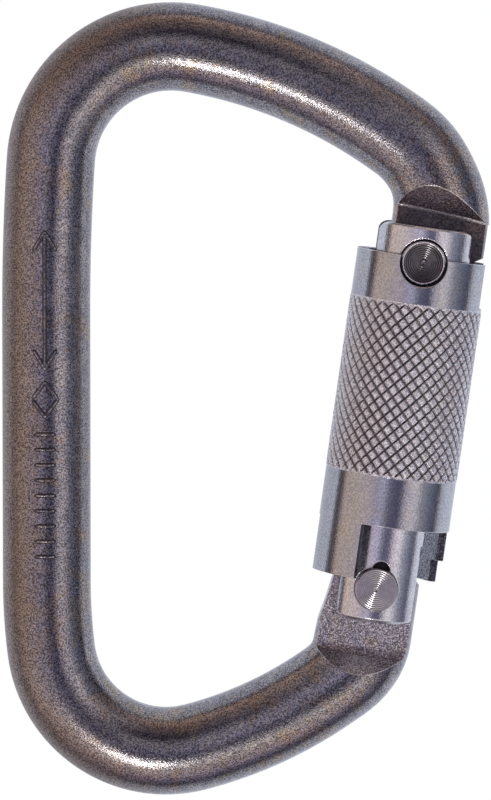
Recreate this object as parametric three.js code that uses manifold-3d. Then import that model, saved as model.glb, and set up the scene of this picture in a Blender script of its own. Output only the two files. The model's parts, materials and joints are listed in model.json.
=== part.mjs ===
// A steel auto-locking carabiner: a bent round bar, a hinged gate and the twist sleeve that locks it.
// Millimetres. The carabiner lies flat: +Y runs up the long side and +X points at the gate.
import * as THREE from "three";
import { mergeVertices } from "three/addons/utils/BufferGeometryUtils.js";
import Module from "manifold-3d";

const wasm = await Module();
wasm.setup();

// ---- Driving dimensions of the bar ----
const BAR_R = 6.35;
const BAR_SIDES = 28;
const BEND_STEP = 4.5; // degrees between rings in a bend
const SPINE_X = -28.82;
const TOP_BEND_Y = 12.6;
const TOP_BENDS = [[337, 3.75], [17.33, 96.13], [72.1, 26.27]]; // radius, degrees
const TOP_LAST_R = 13.78;
const FOOT_BEND_Y = -26.39;
const FOOT_BENDS = [[79.8, 7.17], [16.71, 97.31], [59.4, 22]];
const FOOT_LAST_R = 9.57;
const FLARE = 0.7; // how much wider the bar is forged beside each flat
const FLARE_LENGTH = 9;

// ---- Gate frame: origin on the hinge axis, y up the gate (s), x outwards (t), z through the plate ----
const GATE_TILT = THREE.MathUtils.degToRad(8.1);
const HINGE_X = 18.63;
const HINGE_Y = -26.85;
const PLAN_SHIFT = [0.11, 0.07]; // brings the middle of the outline onto the origin

// ---- Flats milled on the bar ----
const FLAT_HALF = 2.45;
const FILLET_R = 2; // where a flat turns up into the slope behind it
const NOSE_SHOULDER = 53.8;
const NOSE_SLOPE = 46; // degrees
const TANG_SHOULDER = -8.7;
const TANG_SLOPE = 52;
const TONGUE_OUT = 7.55; // inside the sleeve
const SHOULDER_OUT = 8.6; // above the sleeve's rim
const NOSE_SKEW = 4; // degrees the nose flats are cut off square
const TONGUE_IN = 5.15;
const TIP_RADIUS = 42.9; // measured from the hinge, like every arc the nose follows
const LIP_ANGLE = 5; // degrees about the hinge
const CAM_LOW = 4.9;
const CAM_RISE = 1.2;
const CAM_TURN = 40; // degrees of gate swing over which the cam rises

// ---- Gate ----
const GATE_R = 6.35;
const GATE_HEAD_R = 7.35;
const GATE_HEAD_FROM = 41.3;
const GATE_TOP = 52.4;
const HEAD_HALF = 6.9; // half the head's width, seen from the front
const HEAD_ROUND = 1.6;
const GATE_FOOT = -4.9;
const EAR_IN = 5.2;
const EAR_OUT = 6.05;
const EAR_ROUND = 1.7;
const SLOT_HALF = 2.8;
const FOOT_SLOT_END = 6.6;
const NOSE_SLOT_FROM = 42;
const BORE_R = 2.2;
const BORE_END = 34;
const GROOVE_R = 5.7;

// ---- Pins ----
const HINGE_PIN_R = 2;
const HINGE_HEAD_R = 3.06;
const HINGE_HEAD_Z = 7.2;
const LATCH_S = 47.3;
const LATCH_PIN_R = 1.9;
const LATCH_HEAD_R = 3.2;
const LATCH_HEAD_Z = 7.3;
const HEAD_SEAT_Z = 5.3;
const RUNNING_GAP = 0.06;
const LATCH_PLAY = 0.3;

// ---- Sleeve ----
const SLEEVE_R = 9.45;
const KNURL_R = 9.55;
const SLEEVE_BORE = 8.2;
const SLEEVE_TOP = 48.1;
const SLEEVE_RIM = 9.2;
const LOBE_END = 1.3;
const LOBE_STEP = 4.6;
const KNURL_FROM = 16.3;
const KNURL_TO = 41.4;
const FLANGE = [39.5, 41];
const FLANGE_R = 6.65;
// Cut away between the lobes: degrees round the sleeve from +z towards +x, up to an s.
const WINDOWS = [
  { turn: [-22, 100], upTo: SLEEVE_RIM },
  { turn: [-22, 113], upTo: LOBE_STEP },
  { turn: [158, 278], upTo: SLEEVE_RIM },
];
const NOTCH_R = 3.45;
const EXIT_HALF = 2.85;
const EXIT_FROM = 41.6;

// ---- Pieces inside the sleeve and the gate ----
const RING_S = [10.2, 11.4];
const RING_R = [5.8, 7.9];
const WASHER_S = [38.4, 39.2];
const WASHER_R = [6.65, 7.95];
const SLEEVE_COIL = { radius: 7.28, wire: 0.58, from: 12.3, to: 37.5, turns: 8, steps: 15, sides: 6 };
const GATE_COIL = { radius: 1.5, wire: 0.27, from: 17.2, to: 33.4, turns: 9, steps: 11, sides: 5 };
const TIP_R = 1.6;
const TIP_S = 6.68;
const PLUNGER_R = 2;
const PLUNGER_S = [8.2, 15.6];
const STEM = { radius: 0.95, end: 21 };

const REACH = 14; // further than any surface from the gate axis
const deg = THREE.MathUtils.degToRad;

// ---- Building blocks ----
function toSolid(geometry) {
  const bare = geometry.clone();
  bare.deleteAttribute("normal");
  bare.deleteAttribute("uv");
  const merged = mergeVertices(bare, 1e-4);
  return new wasm.Manifold(new wasm.Mesh({
    numProp: 3,
    vertProperties: new Float32Array(merged.attributes.position.array),
    triVerts: new Uint32Array(merged.index.array),
  }));
}

function toMesh(name, solid, color) {
  const mesh = solid.getMesh();
  const geometry = new THREE.BufferGeometry();
  geometry.setAttribute("position", new THREE.BufferAttribute(mesh.vertProperties, 3));
  geometry.setIndex(new THREE.BufferAttribute(mesh.triVerts, 1));
  geometry.computeVertexNormals();
  const result = new THREE.Mesh(geometry, new THREE.MeshStandardMaterial({ color }));
  result.name = name;
  return result;
}

function block(x, y, z) {
  const box = new THREE.BoxGeometry(x[1] - x[0], y[1] - y[0], z[1] - z[0]);
  return toSolid(box.translate((x[0] + x[1]) / 2, (y[0] + y[1]) / 2, (z[0] + z[1]) / 2));
}

// Round stock through the plate, along z.
function rod(radius, x, y, z, sides = 32) {
  const shaft = new THREE.CylinderGeometry(radius, radius, z[1] - z[0], sides);
  return toSolid(shaft.rotateX(Math.PI / 2).translate(x, y, (z[0] + z[1]) / 2));
}

// A closed profile of [radius, s] points turned about the gate axis.
function turned(profile, sides = 48) {
  const points = [...profile, profile[0]].map(([r, s]) => new THREE.Vector2(r, s));
  return toSolid(new THREE.LatheGeometry(points, sides));
}

function prism(points, z) {
  const shape = new THREE.Shape(points.map(([x, y]) => new THREE.Vector2(x, y)));
  const body = new THREE.ExtrudeGeometry(shape, { depth: z[1] - z[0], bevelEnabled: false });
  return toSolid(body.translate(0, 0, z[0]));
}

// Rings of equal point count joined into one closed skin, with a fan over each end.
function loft(rings) {
  const sides = rings[0].length;
  const positions = rings.flat().flatMap((p) => [p.x, p.y, p.z]);
  const index = [];
  for (let i = 0; i + 1 < rings.length; i++) {
    for (let j = 0; j < sides; j++) {
      const a = i * sides + j;
      const b = i * sides + ((j + 1) % sides);
      index.push(a, b, b + sides, a, b + sides, a + sides);
    }
  }
  const last = (rings.length - 1) * sides;
  for (let j = 1; j + 1 < sides; j++) {
    index.push(0, j + 1, j);
    index.push(last, last + j, last + j + 1);
  }
  const geometry = new THREE.BufferGeometry();
  geometry.setAttribute("position", new THREE.Float32BufferAttribute(positions, 3));
  geometry.setIndex(index);
  return toSolid(geometry);
}

function arcAboutHinge(from, to, startDeg, endDeg, steps) {
  return Array.from({ length: steps + 1 }, (_, i) => {
    const angle = deg(startDeg + ((endDeg - startDeg) * i) / steps);
    const radius = from + ((to - from) * i) / steps;
    return [-radius * Math.sin(angle), radius * Math.cos(angle)];
  });
}

// A round-wire coil about the gate axis.
function coil({ radius, wire, from, to, turns, steps, sides }) {
  const slope = Math.atan2((to - from) / turns, 2 * Math.PI * radius);
  const rings = [];
  for (let i = 0; i <= turns * steps; i++) {
    const angle = (2 * Math.PI * i) / steps;
    const out = new THREE.Vector3(Math.cos(angle), 0, Math.sin(angle));
    const along = new THREE.Vector3(-out.z, 0, out.x).multiplyScalar(Math.cos(slope));
    along.y = Math.sin(slope);
    const across = new THREE.Vector3().crossVectors(along, out);
    const centre = out.clone().multiplyScalar(radius);
    centre.y = from + ((to - from) * i) / (turns * steps);
    rings.push(Array.from({ length: sides }, (_, j) => {
      const turn = (2 * Math.PI * j) / sides;
      return centre.clone()
        .addScaledVector(out, wire * Math.cos(turn))
        .addScaledVector(across, wire * Math.sin(turn));
    }));
  }
  return loft(rings);
}

// ---- The bar ----
// Stations down a chain of tangent bends: where the centre line is and which way it heads.
function bendStations(x, y, heading, bends, side) {
  const stations = [{ x, y, heading }];
  for (const [radius, turn] of bends) {
    const steps = Math.ceil(turn / Math.max(BEND_STEP * Math.min(1, 25 / radius), 1.6));
    const centreX = x - side * radius * Math.sin(heading);
    const centreY = y + side * radius * Math.cos(heading);
    const start = heading;
    for (let i = 1; i <= steps; i++) {
      heading = start + side * deg((turn * i) / steps);
      x = centreX + side * radius * Math.sin(heading);
      y = centreY - side * radius * Math.cos(heading);
      stations.push({ x, y, heading });
    }
  }
  return stations;
}

// Adds the straight length that is milled into a flat, down to the given s on the gate axis.
function runAlongGate(stations, endS) {
  const last = stations[stations.length - 1];
  const s = (last.x - HINGE_X) * Math.sin(GATE_TILT) + (last.y - HINGE_Y) * Math.cos(GATE_TILT);
  const length = Math.abs(endS - s);
  return [...stations, {
    x: last.x + length * Math.cos(last.heading),
    y: last.y + length * Math.sin(last.heading),
    heading: last.heading,
  }];
}

// Half width of the bar at each station: stock size, and wider beside the flat at the end of the chain.
function flared(stations) {
  let run = 0;
  const result = [];
  for (let i = stations.length - 1; i >= 0; i--) {
    const next = stations[i + 1];
    const flatRun = i >= stations.length - 2;
    if (!flatRun) run += Math.hypot(next.x - stations[i].x, next.y - stations[i].y);
    const ease = THREE.MathUtils.smoothstep(FLARE_LENGTH - run, 0, FLARE_LENGTH);
    result.unshift({ ...stations[i], half: BAR_R + FLARE * ease });
  }
  return result;
}

function barRing({ x, y, heading, half }) {
  return Array.from({ length: BAR_SIDES }, (_, j) => {
    const turn = (2 * Math.PI * (j + 0.5)) / BAR_SIDES;
    const out = half * Math.cos(turn);
    return new THREE.Vector3(
      x - out * Math.sin(heading),
      y + out * Math.cos(heading),
      BAR_R * Math.sin(turn),
    );
  });
}

function bentBar() {
  const rest = (bends) => 180 - bends.reduce((sum, [, turn]) => sum + turn, 0);
  const tilt = THREE.MathUtils.radToDeg(GATE_TILT);
  const topBends = [...TOP_BENDS, [TOP_LAST_R, rest(TOP_BENDS) + tilt]];
  const footBends = [...FOOT_BENDS, [FOOT_LAST_R, rest(FOOT_BENDS) - tilt]];
  const top = bendStations(SPINE_X, TOP_BEND_Y, Math.PI / 2, topBends, -1);
  const foot = bendStations(SPINE_X, FOOT_BEND_Y, -Math.PI / 2, footBends, 1);
  const nose = flared(runAlongGate(top, TIP_RADIUS - 1.5)).reverse();
  const tang = flared(runAlongGate(foot, CAM_LOW + 2));
  const turnedRound = nose.map((st) => ({ ...st, heading: st.heading + Math.PI }));
  return loft([...turnedRound, ...tang].map(barRing)).transform(planToGate());
}

function planToGate() {
  const matrix = new THREE.Matrix4().makeRotationZ(GATE_TILT);
  matrix.multiply(new THREE.Matrix4().makeTranslation(-HINGE_X, -HINGE_Y, 0));
  return matrix.elements;
}

// Clears one face of the bar down to the flat, which runs out through a fillet and up a slope.
function shoulderCut(side, shoulder, end, slope, skew) {
  const away = Math.sign(shoulder - end);
  const fillet = Array.from({ length: 7 }, (_, i) => {
    const angle = deg((slope * i) / 6);
    return [away * FILLET_R * Math.sin(angle), FLAT_HALF + FILLET_R * (1 - Math.cos(angle))];
  });
  const [s, z] = fillet.at(-1);
  const top = s + (away * (REACH - z)) / Math.tan(deg(slope));
  const outline = [...fillet, [top, REACH], [end - shoulder, REACH], [end - shoulder, FLAT_HALF]];
  const cutter = prism(outline, [-REACH, REACH]).rotate([90, 0, 90]);
  const facing = side > 0 ? cutter : cutter.mirror([0, 0, 1]);
  return facing.rotate([0, 0, -skew]).translate([0, shoulder, 0]);
}

// The hook that goes into the gate's slot and behind the latch pin.
function noseOutline() {
  const notch = LATCH_PIN_R + LATCH_PLAY;
  const seat = Array.from({ length: 9 }, (_, i) => {
    const angle = deg(-90 + 22.5 * i);
    return [notch * Math.cos(angle), LATCH_S + notch * Math.sin(angle)];
  });
  const mouth = THREE.MathUtils.radToDeg(Math.asin(TONGUE_IN / (LATCH_S + notch)));
  const lip = LATCH_S - notch;
  return [
    [SHOULDER_OUT, NOSE_SHOULDER + 1],
    [SHOULDER_OUT, SLEEVE_TOP + 0.9],
    [TONGUE_OUT, SLEEVE_TOP + 0.3],
    [TONGUE_OUT, TIP_RADIUS + 1.3],
    ...arcAboutHinge(TIP_RADIUS, TIP_RADIUS, -8, LIP_ANGLE - 0.8, 8),
    ...arcAboutHinge(TIP_RADIUS + 0.6, lip - 0.6, LIP_ANGLE, LIP_ANGLE, 1),
    ...arcAboutHinge(lip, lip, LIP_ANGLE - 0.8, 1, 3),
    ...seat,
    ...arcAboutHinge(LATCH_S + notch, LATCH_S + notch, 1, mouth, 4),
    [-TONGUE_IN, NOSE_SHOULDER + 1],
  ];
}

// The flat that the gate straddles. Its end is the cam that the plunger presses on.
function tangOutline() {
  return [
    [6.4, TANG_SHOULDER],
    [6.4, 0.8],
    ...arcAboutHinge(CAM_LOW, CAM_LOW, -60, -4, 8),
    ...arcAboutHinge(CAM_LOW, CAM_LOW + CAM_RISE, 0, CAM_TURN, 12),
    ...arcAboutHinge(CAM_LOW + CAM_RISE, CAM_LOW + CAM_RISE, CAM_TURN + 5, CAM_TURN + 30, 4),
    [-6.25, 0.5],
    [-6.85, -3],
    [-7.5, -6],
    [-7.8, TANG_SHOULDER],
  ];
}

function barBody() {
  let bar = bentBar();
  const through = [-FLAT_HALF - 1, FLAT_HALF + 1];
  const noseBlank = block([-REACH, REACH], [TIP_RADIUS - 3, NOSE_SHOULDER], through);
  const tangBlank = block([-REACH, REACH], [TANG_SHOULDER, CAM_LOW + 4], through);
  const deeper = [through[0] - 1, through[1] + 1];
  bar = bar.subtract(noseBlank.subtract(prism(noseOutline(), deeper)));
  bar = bar.subtract(tangBlank.subtract(prism(tangOutline(), deeper)));
  for (const side of [1, -1]) {
    bar = bar.subtract(shoulderCut(side, NOSE_SHOULDER, TIP_RADIUS - 3, NOSE_SLOPE, NOSE_SKEW));
    bar = bar.subtract(shoulderCut(side, TANG_SHOULDER, CAM_LOW + 4, TANG_SLOPE, 0));
  }
  return bar.subtract(rod(HINGE_PIN_R + RUNNING_GAP, 0, 0, deeper));
}

// ---- The gate and its pins ----
function gateBlank() {
  return turned([
    [0, GATE_FOOT],
    [GATE_R - 0.5, GATE_FOOT],
    [GATE_R, GATE_FOOT + 0.5],
    [GATE_R, RING_S[0] - 0.1],
    [GROOVE_R, RING_S[0] - 0.1],
    [GROOVE_R, RING_S[1] + 0.1],
    [GATE_R, RING_S[1] + 0.1],
    [GATE_R, GATE_HEAD_FROM],
    [GATE_HEAD_R, GATE_HEAD_FROM],
    [GATE_HEAD_R, GATE_TOP - 0.4],
    [GATE_HEAD_R - 0.4, GATE_TOP],
    [0, GATE_TOP],
  ]);
}

// One rounded corner: points on an arc of radius r about (x, y) from one angle on over 90 degrees.
function corner(x, y, r, from) {
  return [0, 30, 60, 90].map((step) => {
    const angle = deg(from + step);
    return [x + r * Math.cos(angle), y + r * Math.sin(angle)];
  });
}

// The two ears, seen from the front: narrower than the gate, with rounded corners.
function earOutline() {
  return [
    ...corner(-EAR_IN + EAR_ROUND, GATE_FOOT + EAR_ROUND, EAR_ROUND, 180),
    ...corner(EAR_OUT - EAR_ROUND, GATE_FOOT + EAR_ROUND, EAR_ROUND, 270),
    [EAR_OUT, RING_S[0]],
    [-EAR_IN, RING_S[0]],
  ];
}

// The head, seen from the front, with its two upper corners rounded.
function headOutline() {
  const side = HEAD_HALF - HEAD_ROUND;
  return [
    [-HEAD_HALF, GATE_HEAD_FROM],
    [HEAD_HALF, GATE_HEAD_FROM],
    ...corner(side, GATE_TOP - HEAD_ROUND, HEAD_ROUND, 0),
    ...corner(-side, GATE_TOP - HEAD_ROUND, HEAD_ROUND, 90),
  ];
}

function gate() {
  const wide = [-REACH, REACH];
  const deep = [-REACH - 1, REACH + 1];
  const ear = [GATE_FOOT - 1, RING_S[0] - 1];
  const head = [NOSE_SLOT_FROM + 2, GATE_TOP + 1];
  const boreFrom = FOOT_SLOT_END - 1;
  const bore = turned([[0, boreFrom], [BORE_R, boreFrom], [BORE_R, BORE_END], [0, BORE_END]], 28);
  const pinHole = rod(HINGE_PIN_R + 0.04, 0, 0, wide);
  const latchHole = rod(LATCH_PIN_R + 0.04, 0, LATCH_S, wide);
  let solid = gateBlank()
    .subtract(block(wide, ear, wide).subtract(prism(earOutline(), deep)))
    .subtract(block(wide, head, wide).subtract(prism(headOutline(), deep)))
    .subtract(block(wide, [GATE_FOOT - 1, FOOT_SLOT_END], [-SLOT_HALF, SLOT_HALF]))
    .subtract(block(wide, [NOSE_SLOT_FROM, GATE_TOP + 1], [-SLOT_HALF, SLOT_HALF]))
    .subtract(bore)
    .subtract(pinHole)
    .subtract(latchHole);
  for (const z of [[HEAD_SEAT_Z, REACH], [-REACH, -HEAD_SEAT_Z]]) {
    solid = solid.subtract(rod(HINGE_HEAD_R + 0.1, 0, 0, z));
    solid = solid.subtract(rod(LATCH_HEAD_R + 0.25, 0, LATCH_S, z));
  }
  return solid;
}

// A rivet: a shank and a dished or crowned head on each side.
function rivet(shankR, headR, headZ, s, dish) {
  const seat = HEAD_SEAT_Z + 0.05;
  const edge = headZ - 0.25;
  const half = [[shankR, seat], [headR, seat], [headR, edge], [headR - 0.25, headZ], [0, headZ - dish]];
  const mirrored = half.slice().reverse().map(([r, z]) => [r, -z]);
  const profile = [...mirrored.slice(0, -1), [shankR, -seat], [shankR, seat], ...half.slice(1)];
  const points = [...profile, profile[0]].map(([r, y]) => new THREE.Vector2(r, y));
  const lathe = new THREE.LatheGeometry(points, 32);
  return toSolid(lathe.rotateX(Math.PI / 2).translate(0, s, 0));
}

// The plunger's round tip, its barrel that slides in the gate and the stem that centres the spring.
function plunger() {
  const tip = Array.from({ length: 7 }, (_, i) => {
    const angle = deg(-90 + 15 * i);
    return [TIP_R * Math.cos(angle), TIP_S + TIP_R * Math.sin(angle)];
  });
  tip[0][0] = 0;
  return turned([
    ...tip,
    [TIP_R, PLUNGER_S[0] - 0.4],
    [PLUNGER_R, PLUNGER_S[0]],
    [PLUNGER_R, PLUNGER_S[1]],
    [STEM.radius, PLUNGER_S[1]],
    [STEM.radius, STEM.end],
    [0, STEM.end],
  ], 24);
}

// ---- The sleeve and what is under it ----
function sector([from, to], s) {
  const arc = Array.from({ length: 9 }, (_, i) => {
    const angle = deg(from + ((to - from) * i) / 8);
    return [REACH * Math.sin(angle), -REACH * Math.cos(angle)];
  });
  return prism([[0, 0], ...arc], [0, s[1] - s[0]]).rotate([90, 0, 0]).rotate([0, 0, 180])
    .rotate([0, 180, 0]).translate([0, s[0], 0]);
}

function lockSleeve() {
  const skin = turned([
    [SLEEVE_BORE, LOBE_END],
    [SLEEVE_R - 0.2, LOBE_END],
    [SLEEVE_R, LOBE_END + 0.2],
    [SLEEVE_R, KNURL_FROM],
    [KNURL_R, KNURL_FROM + 0.1],
    [KNURL_R, KNURL_TO - 0.1],
    [SLEEVE_R, KNURL_TO],
    [SLEEVE_R, SLEEVE_TOP - 0.35],
    [SLEEVE_R - 0.35, SLEEVE_TOP],
    [SLEEVE_BORE, SLEEVE_TOP],
    [SLEEVE_BORE, FLANGE[1]],
    [FLANGE_R, FLANGE[1]],
    [FLANGE_R, FLANGE[0]],
    [SLEEVE_BORE, FLANGE[0]],
  ], 72);
  const exit = block([0, REACH], [EXIT_FROM, SLEEVE_TOP + 1], [-EXIT_HALF, EXIT_HALF]);
  let solid = skin.subtract(rod(NOTCH_R, 0, LATCH_S, [-REACH, REACH], 40)).subtract(exit);
  for (const { turn, upTo } of WINDOWS) {
    solid = solid.subtract(sector(turn, [LOBE_END - 1, upTo]));
  }
  return solid;
}

function flatRing([inner, outer], s) {
  return turned([[inner, s[0]], [outer, s[0]], [outer, s[1]], [inner, s[1]]], 40);
}

function seatRing() {
  const gap = block([-1.5, 1.5], [RING_S[0] - 1, RING_S[1] + 1], [-REACH, 0]);
  return flatRing(RING_R, RING_S).subtract(gap);
}

// ---- Assembly ----
const hingePin = rivet(HINGE_PIN_R, HINGE_HEAD_R, HINGE_HEAD_Z, 0, 0);
const latchPin = rivet(LATCH_PIN_R, LATCH_HEAD_R, LATCH_HEAD_Z, LATCH_S, 0.8);

const gateFrame = new THREE.Group();
gateFrame.position.set(HINGE_X, HINGE_Y, 0);
gateFrame.rotation.z = -GATE_TILT;
gateFrame.add(
  toMesh("bar_body", barBody(), 0x8d8880),
  toMesh("gate", gate(), 0xb9bcc0),
  toMesh("hinge_pin", hingePin, 0xd8d2c8),
  toMesh("latch_pin", latchPin, 0xd8d2c8),
  toMesh("gate_plunger", plunger(), 0xc9a46a),
  toMesh("gate_spring", coil(GATE_COIL), 0x6f8fb8),
  toMesh("lock_sleeve", lockSleeve(), 0xa9adb4),
  toMesh("thrust_washer", flatRing(WASHER_R, WASHER_S), 0xc7b25a),
  toMesh("sleeve_spring", coil(SLEEVE_COIL), 0x6f8fb8),
  toMesh("seat_ring", seatRing(), 0x9a6f5a),
);

const group = new THREE.Group();
group.name = "carabiner";
group.position.set(...PLAN_SHIFT, KNURL_R);
group.add(gateFrame);

export default group;
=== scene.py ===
"""An auto-locking steel carabiner lying flat under a soft studio sky.

Shapes are modelled in millimetres in the gate frame (t outwards, s up the gate, z through the plate,
origin on the hinge axis) and then put into the row frame in metres.
"""
import json
import math

import bmesh
import bpy
from mathutils import Matrix, Vector


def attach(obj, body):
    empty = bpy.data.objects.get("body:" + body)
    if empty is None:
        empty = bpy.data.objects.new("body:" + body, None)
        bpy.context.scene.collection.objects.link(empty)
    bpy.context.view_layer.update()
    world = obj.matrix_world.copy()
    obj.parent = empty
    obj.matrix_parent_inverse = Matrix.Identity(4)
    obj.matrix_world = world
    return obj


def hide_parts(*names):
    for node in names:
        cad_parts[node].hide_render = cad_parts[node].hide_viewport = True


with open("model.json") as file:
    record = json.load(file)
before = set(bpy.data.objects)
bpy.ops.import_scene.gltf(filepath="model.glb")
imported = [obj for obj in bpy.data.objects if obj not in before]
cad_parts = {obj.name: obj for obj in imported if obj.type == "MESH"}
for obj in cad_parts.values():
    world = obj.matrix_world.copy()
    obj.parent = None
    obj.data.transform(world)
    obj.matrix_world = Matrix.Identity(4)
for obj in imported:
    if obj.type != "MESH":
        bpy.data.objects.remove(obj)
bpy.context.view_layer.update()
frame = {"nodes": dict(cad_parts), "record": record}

# ---- Driving dimensions in millimetres, as in the CAD ----
MM = 0.001
BAR_R = 6.35
HINGE_PLAN = (18.63, -26.85)
SPINE_X = -28.82
# Each half of the bar: where it leaves the spine, its bends as (radius, degrees), and the last radius.
TOP = {"y": 12.6, "bends": [(337, 3.75), (17.33, 96.13), (72.1, 26.27)], "last": 13.78}
FOOT = {"y": -26.39, "bends": [(79.8, 7.17), (16.71, 97.31), (59.4, 22)], "last": 9.57}
BEND_STEP = 0.9
GATE_TILT = 8.1
FLARE, FLARE_LENGTH = 0.7, 9  # how much wider in plan the bar gets at both ends
FLAT_HALF = 2.45
FILLET_R = 2
NOSE_LIP = 0.12
CREST_Z = 2.78  # the strip with the painted highlight at the foot of the nose slope lies below this
HOLLOW_Z = 3.08  # and the painted shade in the hollow at the foot of the tang slope below this
BLANK_HALF, CUT_HALF = 3.4, 5
TANG_END = 9
SLOPE_BOW_R = 9  # the radius at which the slopes are hollowed across
NOSE_SHOULDER, NOSE_SLOPE, NOSE_SKEW = 53.8, 46, 4
TANG_SHOULDER, TANG_SLOPE = -8.7, 52
TIP_RADIUS = 42.9
TONGUE_OUT = 7.55
SHOULDER_OUT = 8.6
TONGUE_IN = 5.15
LATCH_S = 47.3
LATCH_PIN_R = 1.9
HINGE_PIN_R = 2.0
GATE_R = 6.35
GATE_HEAD_R = 7.35
GATE_HEAD_FROM = 41.3
GATE_TOP = 52.4
GATE_FOOT = -4.9
HEAD_HALF, HEAD_ROUND = 6.9, 1.6
EAR_IN, EAR_OUT, EAR_ROUND = 5.2, 6.05, 1.7
EAR_TOP, WASTE_TOP = 10.2, 9.2
SLOT_HALF = 2.8
FOOT_SLOT_END = 6.6
NOSE_SLOT_FROM = 42
SEAT_GROOVE_R, SEAT_GROOVE = 5.7, (10.1, 11.5)
SPRING_BORE_R, SPRING_BORE_TOP = 2.2, 34
POCKET_R, POCKET_AT, POCKET_FLOOR = 1.3, (0.3, 2.75), 4.9
PIN_PLAY, TANG_PLAY, SEAT_PLAY = 0.04, 0.06, 0.05
HINGE_HEAD_R, HINGE_HEAD_Z = 3.06, 7.2
LATCH_HEAD_R, LATCH_HEAD_Z = 3.2, 7.3
LATCH_WALL = LATCH_HEAD_R - 0.42  # where the dish in the latch pin's head begins
HEAD_SEAT_Z = 5.3
DISH_Z = 6.42
TOOL_PITCH, RIDGE_POINTS = 0.3, 6  # of the rings on the turned heads
TURNED_LEAN = 0.02  # how much the turned heads drop outwards, per mm
SLEEVE_R, KNURL_R, SLEEVE_BORE = 9.45, 9.55, 8.2
SLEEVE_TOP, SLEEVE_RIM, LOBE_END, LOBE_STEP = 48.1, 9.2, 1.3, 4.6
KNURL_FROM, KNURL_TO = 16.3, 41.4
# What is cut away between the lobes: from one angle to another, from +z towards +t, and up to an s.
WINDOWS = [(-22, 100, SLEEVE_RIM), (-22, 113, LOBE_STEP), (158, 278, SLEEVE_RIM)]
NOTCH_R = 3.45
EXIT_HALF, EXIT_FROM = 2.85, 41.6
KNURL_STARTS = 34
KNURL_AXIAL = 1.92
THIN_DEPTH, WIDE_DEPTH = 0.32, 0.25
KNURL_CROWN = 0.04
KNURL_FADE = 0.6
FLANGE_BORE, FLANGE = 6.65, (39.5, 41.0)
THIN_GROOVE, WIDE_GROOVE = 0.14, 0.27  # half widths in periods
THIN_LAND, WIDE_LAND = 0.32, 0.42  # and where on the land beside them a further lattice line runs
THIN_SHOWN, WIDE_SHOWN = 0.23, 0.17  # how far below the lands the grooves get their own steel with painted shade
KNURL_LAP = 0.02  # how far the plain ends of the sleeve reach into the knurled band
MARK_HALF, MARK_PROUD, MARK_FLANK = 0.32, 0.19, 0.16
FAR = 14.0

# ---- The gate frame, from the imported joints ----
JOINTS = {j["name"]: j for j in frame["record"]["behaviour"]["joints"]}
HINGE = Vector(JOINTS["gate_swing"]["pos_m"])
UP_GATE = Vector(JOINTS["sleeve_twist"]["axis"]).normalized()
OUT = UP_GATE.cross(Vector((0, 0, 1))).normalized()


def gate_matrix():
    """Millimetres in the gate frame to metres in the row frame."""
    turn = Matrix((OUT, UP_GATE, Vector((0, 0, 1)))).transposed().to_4x4()
    return Matrix.Translation(HINGE) @ turn @ Matrix.Scale(MM, 4)


# ---- Mesh helpers ----
def new_object(name, mesh):
    obj = bpy.data.objects.new(name, mesh)
    bpy.context.scene.collection.objects.link(obj)
    return obj


def from_faces(name, verts, faces):
    mesh = bpy.data.meshes.new(name)
    mesh.from_pydata(verts, [], faces)
    mesh.update()
    return new_object(name, mesh)


def ring_loft(name, rings):
    """Rings of equal point count joined into one skin and capped at both ends."""
    sides = len(rings[0])
    verts = [p for ring in rings for p in ring]
    faces = []
    for i in range(len(rings) - 1):
        a, b = i * sides, (i + 1) * sides
        for j in range(sides):
            k = (j + 1) % sides
            faces.append((a + j, a + k, b + k, b + j))
    faces.append(tuple(reversed(range(sides))))
    faces.append(tuple(range(len(verts) - sides, len(verts))))
    return from_faces(name, verts, faces)


def turned(name, profile, sides=96):
    """A closed profile of (radius, s) points turned about the gate axis; radius 0 points are poles."""
    verts, rows = [], []
    for r, s in profile:
        if r == 0:
            rows.append([len(verts)])
            verts.append((0, s, 0))
        else:
            rows.append(list(range(len(verts), len(verts) + sides)))
            for j in range(sides):
                a = 2 * math.pi * j / sides
                verts.append((r * math.sin(a), s, r * math.cos(a)))
    faces = []
    for low, high in zip(rows, rows[1:] + rows[:1]):
        for j in range(sides):
            k = (j + 1) % sides
            quad = [low[j % len(low)], low[k % len(low)], high[k % len(high)], high[j % len(high)]]
            face = list(dict.fromkeys(quad))
            if len(face) > 2:
                faces.append(face)
    return from_faces(name, verts, faces)


def prism(name, outline, low, high):
    """An outline of (t, s) points as a plate between two heights."""
    rings = [[(x, y, z) for x, y in outline] for z in (low, high)]
    return ring_loft(name, rings)


def block(x, y, z):
    corners = [(x[0], y[0]), (x[1], y[0]), (x[1], y[1]), (x[0], y[1])]
    return prism("block", corners, z[0], z[1])


def rod(radius, s, low, high, sides=64):
    circle = [2 * math.pi * j / sides for j in range(sides)]
    outline = [(radius * math.cos(a), s + radius * math.sin(a)) for a in circle]
    return prism("rod", outline, low, high)


def move(obj, matrix):
    obj.data.transform(matrix)
    return obj


def fix_normals(obj):
    bm = bmesh.new()
    bm.from_mesh(obj.data)
    bmesh.ops.recalc_face_normals(bm, faces=bm.faces)
    bm.to_mesh(obj.data)
    bm.free()


def fixed_order(bm):
    """A mesh's points and faces in one order for every run, which the mesh operators don't keep."""
    bmesh.ops.recalc_face_normals(bm, faces=bm.faces)
    verts = sorted(bm.verts, key=lambda vert: vert.co[:])
    number = {vert: i for i, vert in enumerate(verts)}
    faces = []
    for face in bm.faces:
        loop = [number[vert] for vert in face.verts]
        if len(loop) == 4 and loop[2] < loop[0]:
            loop = loop[2:] + loop[:2]  # half way round, so that the quad splits along the same diagonal
        faces.append(loop)
    return [vert.co[:] for vert in verts], sorted(faces)


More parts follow.
